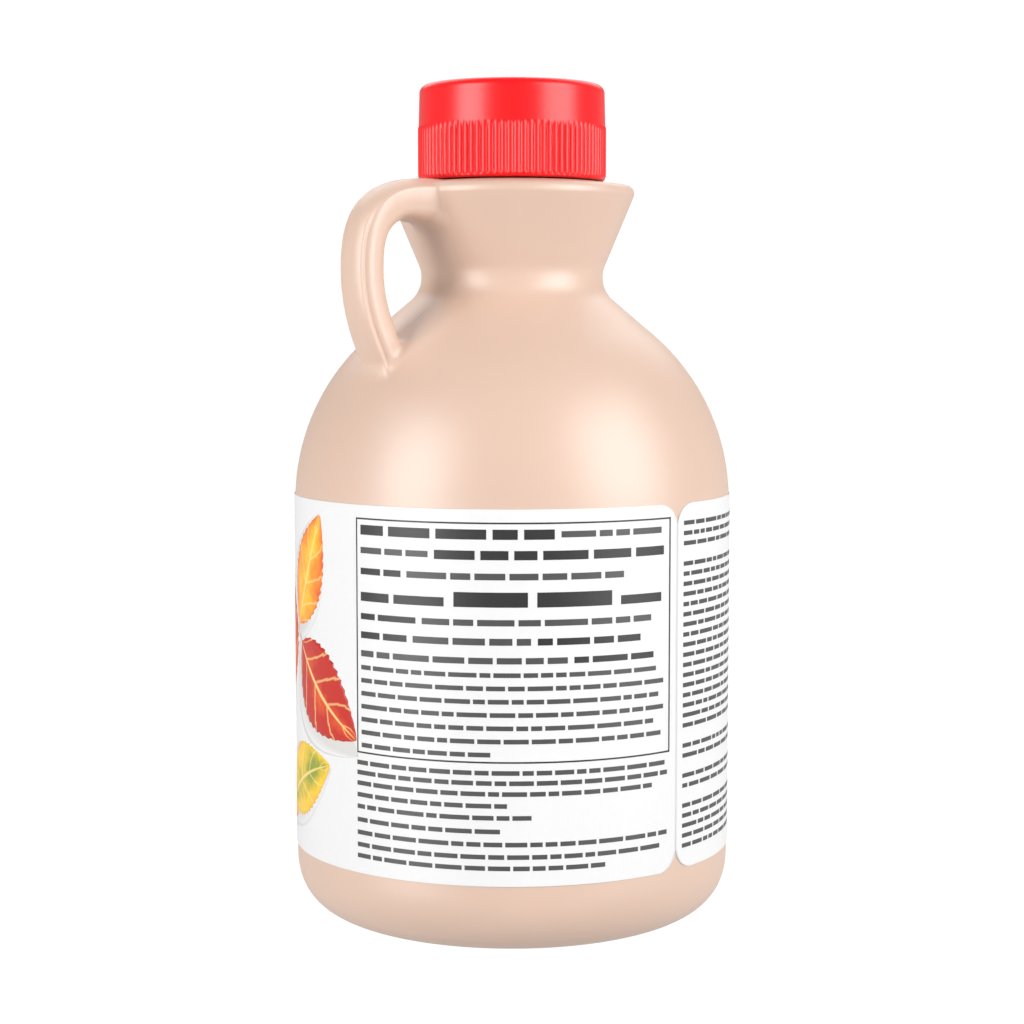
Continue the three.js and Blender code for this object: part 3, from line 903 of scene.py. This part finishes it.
cap.data.materials.append(cap_polypropylene())
print("cap finish", cap.data.materials[0].name)

# %% [markdown]
# The label is a coated white film. It is smooth, but glue and wall show through as a very slight waviness,
# and its coating has a fine mottle. The inks lie on it as thin flat colours with the same sheen.

# %% Label film and inks


def coated_film(name, light, dark, gloss):
    """White or inked film: two near colours mottled together, with a slow waviness in its sheen."""
    material, shader = finish_of(name, Roughness=gloss, IOR=1.48)
    place = add(material, "ShaderNodeTexCoord").outputs["Object"]
    plug(
        material, shader,
        Base_Color=blend(material, noise(material, place, 1.2, 3), linear(dark), linear(light)),
        Normal=bump(material, noise(material, place, 14, 1), 0.2, 0.08),
    )
    return material


FILM_WHITE = "#dadada"
film = coated_film("coated white film", "#dcdcdc", "#d8d8d8", 0.42)
black_ink = coated_film("black offset ink", "#2b2a2a", "#242323", 0.45)
grey_ink = coated_film("dark grey offset ink", "#4a4949", "#434242", 0.45)
brown_ink = coated_film("brown offset ink", "#7d4520", "#74401d", 0.42)
gold_ink = coated_film("ochre offset ink", "#d79a3c", "#d09338", 0.40)
cream_ink = coated_film("cream offset ink", "#f7e8cc", "#f3e3c5", 0.42)
for piece, ink in ((label, film), (panel_rules, black_ink), (bold_bars, black_ink), (plain_bars, grey_ink),
                   (ring, gold_ink), (field, brown_ink), (title, cream_ink)):
    piece.data.materials.append(ink)
print("film and inks", film.name)

# %% [markdown]
# A printed leaf runs through several autumn colours. Its colour number, moved by noise and by the distance
# from the midrib, is looked up in a ramp from green through yellow and orange to red. Veins are drawn in
# the leaf's own map: the midrib where t is in the middle, side veins where s, sheared by t, comes round.

# %% Leaf inks
LEAF_TONES = {
    0.0: "#5d7a22", 0.22: "#8f9a2a", 0.42: "#f0c22c", 0.6: "#f19a22", 0.8: "#dd5a20", 1.0: "#b92418",
}


def leaf_axes(material):
    """A leaf's own s, and how far its t lies from the midrib."""
    own = add(material, "ShaderNodeUVMap", uv_map="leaf").outputs["UV"]
    axes = add(material, "ShaderNodeSeparateXYZ", {"Vector": own}).outputs
    return axes["X"], maths(material, "ABSOLUTE", maths(material, "SUBTRACT", axes["Y"], 0.5))


def leaf_ink():
    """Autumn colours by hue, noise and place on the leaf, with paler veins."""
    material, shader = finish_of("four-colour leaf print", Roughness=0.42, IOR=1.48)
    place = add(material, "ShaderNodeTexCoord").outputs["Object"]
    hue = add(material, "ShaderNodeAttribute", attribute_name="hue").outputs["Fac"]
    along, across = leaf_axes(material)
    blot = noise(material, place, 6, 4, Roughness=0.6)
    spread = maths(material, "MULTIPLY_ADD", blot, 0.7, -0.42)
    edge = maths(material, "MULTIPLY_ADD", across, 0.5, spread)
    ramp = add(material, "ShaderNodeValToRGB", {"Fac": maths(material, "ADD", hue, edge, use_clamp=True)})
    stops = ramp.color_ramp.elements
    stops.remove(stops[1])
    stops[0].color = linear(LEAF_TONES[0.0])
    for position in list(LEAF_TONES)[1:]:
        stops.new(position).color = linear(LEAF_TONES[position])
    beat = maths(material, "PINGPONG", maths(material, "MULTIPLY_ADD", across, -0.42, along), 0.105)
    side_veins = ranged(material, beat, 0.004, 0.016, 0.55, 0)
    midrib = ranged(material, across, 0.012, 0.035, 0.8, 0)
    veins = maths(material, "MAXIMUM", side_veins, midrib)
    plug(material, shader, Base_Color=blend(material, veins, ramp.outputs["Color"], linear("#f2d488")))
    return material


def shadow_ink():
    """Pale grey in the middle of the sheet, fading to the film's white at its rim."""
    material, shader = finish_of("pale grey tint", Roughness=0.42, IOR=1.48)
    fade = ranged(material, leaf_axes(material)[1], 0.28, 0.5, 1, 0, "SMOOTHSTEP")
    plug(material, shader, Base_Color=blend(material, fade, linear(FILM_WHITE), linear("#c9c7c4")))
    return material


leaves.data.materials.append(leaf_ink())
shades.data.materials.append(shadow_ink())
print("leaf finish", leaves.data.materials[0].name)

# %% [markdown]
# ## Floor, light and camera
# A white table runs on as a white backdrop. It glows so that it stays white, but it is hidden from the
# light that bounces: its glare would fill the shade under the handle and the collar. The world does that
# job instead, brighter from below than from above, as over a pale table. Two tall soft boxes stand in
# front to the left and right, so that two broad bands show on the cap and two soft glows on the shoulder,
# and a weaker one lights the back. The camera looks slightly down from the height of the waist, with a
# long lens.

# %% Floor and world
COVE_R, COVE_BEND, COVE_HIGH = 3000.0, 250.0, 720.0
COVE_START, COVE_AROUND = 100.0, 96
GLOW_LOW, GLOW_HIGH, GLOW_BLEND = 0.75, 0.27, 0.3


def white_cove():
    """A floor that turns up into a low round wall: a disc, a quarter round and a wall, turned."""
    bend = arc((COVE_R - COVE_BEND, COVE_BEND), COVE_BEND, -np.pi / 2, 0, 12)
    disc = np.stack([np.linspace(COVE_START, COVE_R - COVE_BEND, 12)[:-1], np.zeros(11)], -1)
    profile = np.concatenate([disc, bend, [(COVE_R, COVE_HIGH)]])
    points = np.concatenate([turned(profile, COVE_AROUND).reshape(-1, 3), [(0, 0, 0)]])
    faces = [face[::-1] for face in tube_faces(len(profile), COVE_AROUND) if max(face) < len(points)]
    return sheet("white_cove", points, faces)


floor = white_cove()
matt, _ = finish_of(
    "matt translucent acrylic, lit from behind", Roughness=0.9, Base_Color=linear("#585858"),
    Emission_Color=(1, 1, 1, 1), Emission_Strength=0.98,
)
floor.data.materials.append(matt)
floor.visible_diffuse = False
floor.visible_glossy = False

world = bpy.data.worlds.new("white room")
world.use_nodes = True
aim = add(world, "ShaderNodeTexCoord").outputs["Generated"]
height = add(world, "ShaderNodeSeparateXYZ", {"Vector": aim}).outputs["Z"]
background = world.node_tree.nodes["Background"]
background.inputs["Color"].default_value = (1, 1, 1, 1)
plug(world, background, Strength=ranged(
    world, height, -GLOW_BLEND, GLOW_BLEND, GLOW_LOW, GLOW_HIGH, "SMOOTHSTEP",
))
bpy.context.scene.world = world
bpy.context.scene.view_settings.view_transform = "Standard"
print("floor", 2 * COVE_R * MM, "m wide")

# %% Soft boxes and camera
CAMERA_AWAY, CAMERA_HIGH, CAMERA_TILT = 430.4, 113.1, 0.0865
LENS, SENSOR, CLIP_NEAR = 80.2, 36.0, 0.01
BOX_AIM = np.array([0, 0, 0.08])
# name, degrees right of the camera, degrees up, metres away, width and height in metres, watts
BOXES = [
    ("left box", -52, 11, 0.9, 0.54, 0.90, 9.6),
    ("right box", 60, 18, 0.9, 0.68, 0.90, 10.4),
    ("back box", 180, 45, 1.0, 1.40, 0.80, 6.0),
]


def looking(place, forward, up):
    """Matrix of an object at a place that looks along forward, its own -Z, with its Y towards up."""
    back = -np.asarray(forward, float) / np.linalg.norm(forward)
    right = np.cross(up, back)
    right /= np.linalg.norm(right)
    turned_up = np.cross(back, right)
    matrix = np.eye(4)
    matrix[:3, :3] = np.stack([right, turned_up, back], -1)
    matrix[:3, 3] = place
    return Matrix(matrix.tolist())


def soft_box(name, swing_deg, rise_deg, away, wide, tall, watts):
    """A rectangular light that faces the jug from an angle right of the camera and a height angle."""
    swing, rise = VIEW_ANGLE + np.radians(swing_deg), np.radians(rise_deg)
    toward = np.array([np.cos(swing) * np.cos(rise), np.sin(swing) * np.cos(rise), np.sin(rise)])
    lamp = bpy.data.lights.new(name, "AREA")
    lamp.shape, lamp.size, lamp.size_y, lamp.energy = "RECTANGLE", wide, tall, watts
    linked(name, lamp).matrix_world = looking(BOX_AIM + away * toward, -toward, (0, 0, 1))


for box in BOXES:
    soft_box(*box)
print("soft boxes", len(BOXES))

camera = linked("camera", bpy.data.cameras.new("camera"))
camera.data.lens, camera.data.sensor_width = LENS, SENSOR
camera.data.clip_start = CLIP_NEAR
away = np.array([np.cos(VIEW_ANGLE), np.sin(VIEW_ANGLE), 0])
place = (CAMERA_AWAY * away + np.array([0, 0, CAMERA_HIGH])) * MM
forward = -away * np.cos(CAMERA_TILT) - np.array([0, 0, np.sin(CAMERA_TILT)])
camera.matrix_world = looking(place, forward, (0, 0, 1))
bpy.context.scene.camera = camera
print("camera at", place.round(3))
